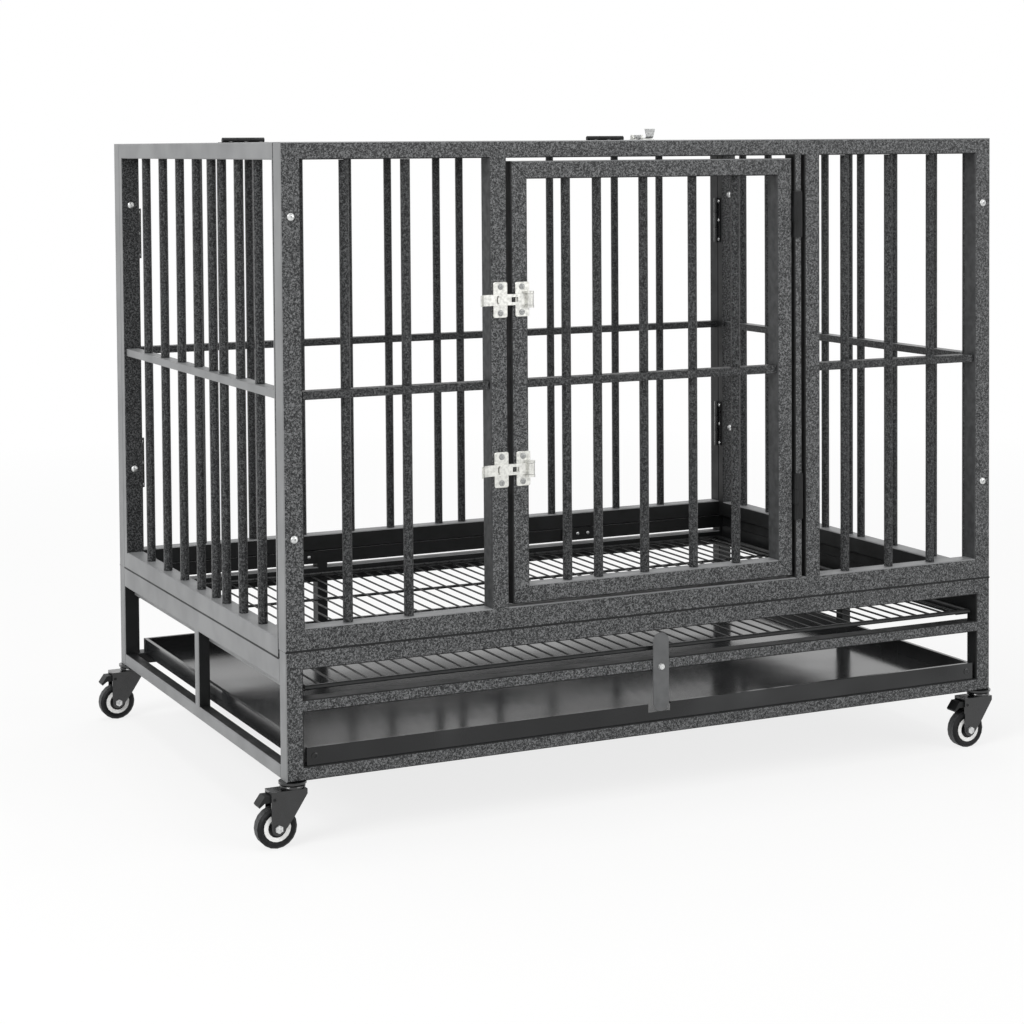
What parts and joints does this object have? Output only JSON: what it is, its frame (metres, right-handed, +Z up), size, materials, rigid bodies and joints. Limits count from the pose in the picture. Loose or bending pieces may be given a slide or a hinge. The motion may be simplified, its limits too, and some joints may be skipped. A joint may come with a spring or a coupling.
{
  "type": "dog crate",
  "caption": "Barred steel dog crate with a latched front door, a hinged roof lid, a wire floor grid and a pull-out tray on a base with swivelling, braked casters",
  "frame": {"origin": "on the ground, under the middle of the whole crate's box, casters and latches included", "axes": "+X runs along the front from left to right, +Y from the front to the rear, +Z up; the door is on the -Y side"},
  "size_m": [1.062, 0.7434, 0.85],
  "materials": {
    "grey_paint": "hammered dark grey paint on steel tube",
    "black_steel": "black coated pressed steel",
    "black_paint": "black painted lever",
    "bare_steel": "bright plated steel",
    "tray_steel": "smooth black painted sheet",
    "white_plastic": "moulded white wheel core",
    "tyre_rubber": "dark grey moulded tread"
  },
  "bodies": {
    "crate_frame": {"base_front": "grey_paint", "base_rear": "grey_paint", "base_left": "grey_paint", "base_right": "grey_paint", "front_frame": "grey_paint", "front_grille_left": "grey_paint", "front_grille_right": "grey_paint", "rear_panel": "grey_paint", "left_panel": "grey_paint", "right_panel": "grey_paint", "corner_hinge_upper_left": "black_steel", "corner_hinge_upper_right": "black_steel", "corner_hinge_lower_left": "black_steel", "corner_hinge_lower_right": "black_steel", "door_hinge_upper_bar_half": "black_steel", "door_hinge_lower_bar_half": "black_steel", "roof_hinge_left_rail_half": "black_steel", "roof_hinge_right_rail_half": "black_steel", "latch_keeper_upper": "bare_steel", "latch_keeper_lower": "bare_steel", "roof_latch_keeper": "bare_steel", "mount_front_left": "black_steel", "mount_front_right": "black_steel", "mount_rear_left": "black_steel", "mount_rear_right": "black_steel"},
    "front_door": {"door": "grey_paint", "door_hinge_upper_door_half": "black_steel", "door_hinge_lower_door_half": "black_steel", "latch_mount_upper": "bare_steel", "latch_mount_lower": "bare_steel"},
    "upper_latch": {"latch_arm_upper": "bare_steel"},
    "lower_latch": {"latch_arm_lower": "bare_steel"},
    "lid": {"roof_lid": "grey_paint", "roof_hinge_left_lid_half": "black_steel", "roof_hinge_right_lid_half": "black_steel", "roof_latch_mount": "bare_steel"},
    "lid_latch": {"roof_latch_arm": "bare_steel"},
    "grid": {"floor_grid": "grey_paint"},
    "drawer": {"tray": "tray_steel"},
    "plate": {"turn_plate": "grey_paint"},
    "swivel_front_left": {"fork_front_left": "black_steel", "axle_front_left": "bare_steel"},
    "swivel_front_right": {"fork_front_right": "black_steel", "axle_front_right": "bare_steel"},
    "swivel_rear_left": {"fork_rear_left": "black_steel", "axle_rear_left": "bare_steel"},
    "swivel_rear_right": {"fork_rear_right": "black_steel", "axle_rear_right": "bare_steel"},
    "roller_front_left": {"wheel_front_left": "white_plastic", "tyre_front_left": "tyre_rubber"},
    "roller_front_right": {"wheel_front_right": "white_plastic", "tyre_front_right": "tyre_rubber"},
    "roller_rear_left": {"wheel_rear_left": "white_plastic", "tyre_rear_left": "tyre_rubber"},
    "roller_rear_right": {"wheel_rear_right": "white_plastic", "tyre_rear_right": "tyre_rubber"},
    "pedal_front_left": {"brake_front_left": "black_paint"},
    "pedal_front_right": {"brake_front_right": "black_paint"},
    "pedal_rear_left": {"brake_rear_left": "black_paint"},
    "pedal_rear_right": {"brake_rear_right": "black_paint"}
  },
  "joints": [
    {"name": "door_swing", "type": "hinge", "parent": "crate_frame", "child": "front_door", "pos_m": [0.211, -0.3578, 0.53601], "axis": [0, 0, 1], "range_deg": [0, 165]},
    {"name": "upper_latch_turn", "type": "hinge", "parent": "front_door", "child": "upper_latch", "pos_m": [-0.1755, -0.3616, 0.64099], "axis": [0, 0, 1], "range_deg": [0, 135]},
    {"name": "lower_latch_turn", "type": "hinge", "parent": "front_door", "child": "lower_latch", "pos_m": [-0.1755, -0.3616, 0.43151], "axis": [0, 0, 1], "range_deg": [0, 135]},
    {"name": "lid_swing", "type": "hinge", "parent": "crate_frame", "child": "lid", "pos_m": [0.015, 0.3392, 0.8403], "axis": [-1, 0, 0], "range_deg": [0, 115]},
    {"name": "lid_latch_turn", "type": "hinge", "parent": "lid", "child": "lid_latch", "pos_m": [0.00103, -0.3123, 0.84], "axis": [-1, 0, 0], "range_deg": [0, 135]},
    {"name": "grid_slide", "type": "slide", "parent": "crate_frame", "child": "grid", "axis": [0, -1, 0], "range_m": [0, 0.008]},
    {"name": "tray_slide", "type": "slide", "parent": "crate_frame", "child": "drawer", "axis": [0, -1, 0], "range_m": [0, 0.58]},
    {"name": "plate_turn", "type": "hinge", "parent": "crate_frame", "child": "plate", "pos_m": [0.009, -0.3556, 0.1645], "axis": [0, 1, 0], "range_deg": [-90, 90]},
    {"name": "swivel_front_left_turn", "type": "hinge", "parent": "crate_frame", "child": "swivel_front_left", "pos_m": [-0.484, -0.3433, 0.069], "axis": [0, 0, 1], "continuous": true},
    {"name": "swivel_front_right_turn", "type": "hinge", "parent": "crate_frame", "child": "swivel_front_right", "pos_m": [0.514, -0.3433, 0.069], "axis": [0, 0, 1], "continuous": true},
    {"name": "swivel_rear_left_turn", "type": "hinge", "parent": "crate_frame", "child": "swivel_rear_left", "pos_m": [-0.484, 0.3547, 0.069], "axis": [0, 0, 1], "continuous": true},
    {"name": "swivel_rear_right_turn", "type": "hinge", "parent": "crate_frame", "child": "swivel_rear_right", "pos_m": [0.514, 0.3547, 0.069], "axis": [0, 0, 1], "continuous": true},
    {"name": "roller_front_left_spin", "type": "hinge", "parent": "swivel_front_left", "child": "roller_front_left", "pos_m": [-0.506, -0.3433, 0.025], "axis": [0, 1, 0], "continuous": true},
    {"name": "roller_front_right_spin", "type": "hinge", "parent": "swivel_front_right", "child": "roller_front_right", "pos_m": [0.492, -0.3433, 0.025], "axis": [0, 1, 0], "continuous": true},
    {"name": "roller_rear_left_spin", "type": "hinge", "parent": "swivel_rear_left", "child": "roller_rear_left", "pos_m": [-0.506, 0.3547, 0.025], "axis": [0, 1, 0], "continuous": true},
    {"name": "roller_rear_right_spin", "type": "hinge", "parent": "swivel_rear_right", "child": "roller_rear_right", "pos_m": [0.492, 0.3547, 0.025], "axis": [0, 1, 0], "continuous": true},
    {"name": "pedal_front_left_press", "type": "hinge", "parent": "swivel_front_left", "child": "pedal_front_left", "pos_m": [-0.5105, -0.3433, 0.06], "axis": [0, -1, 0], "range_deg": [0, 15]},
    {"name": "pedal_front_right_press", "type": "hinge", "parent": "swivel_front_right", "child": "pedal_front_right", "pos_m": [0.4875, -0.3433, 0.06], "axis": [0, -1, 0], "range_deg": [0, 15]},
    {"name": "pedal_rear_left_press", "type": "hinge", "parent": "swivel_rear_left", "child": "pedal_rear_left", "pos_m": [-0.5105, 0.3547, 0.06], "axis": [0, -1, 0], "range_deg": [0, 15]},
    {"name": "pedal_rear_right_press", "type": "hinge", "parent": "swivel_rear_right", "child": "pedal_rear_right", "pos_m": [0.4875, 0.3547, 0.06], "axis": [0, -1, 0], "range_deg": [0, 15]}
  ]
}
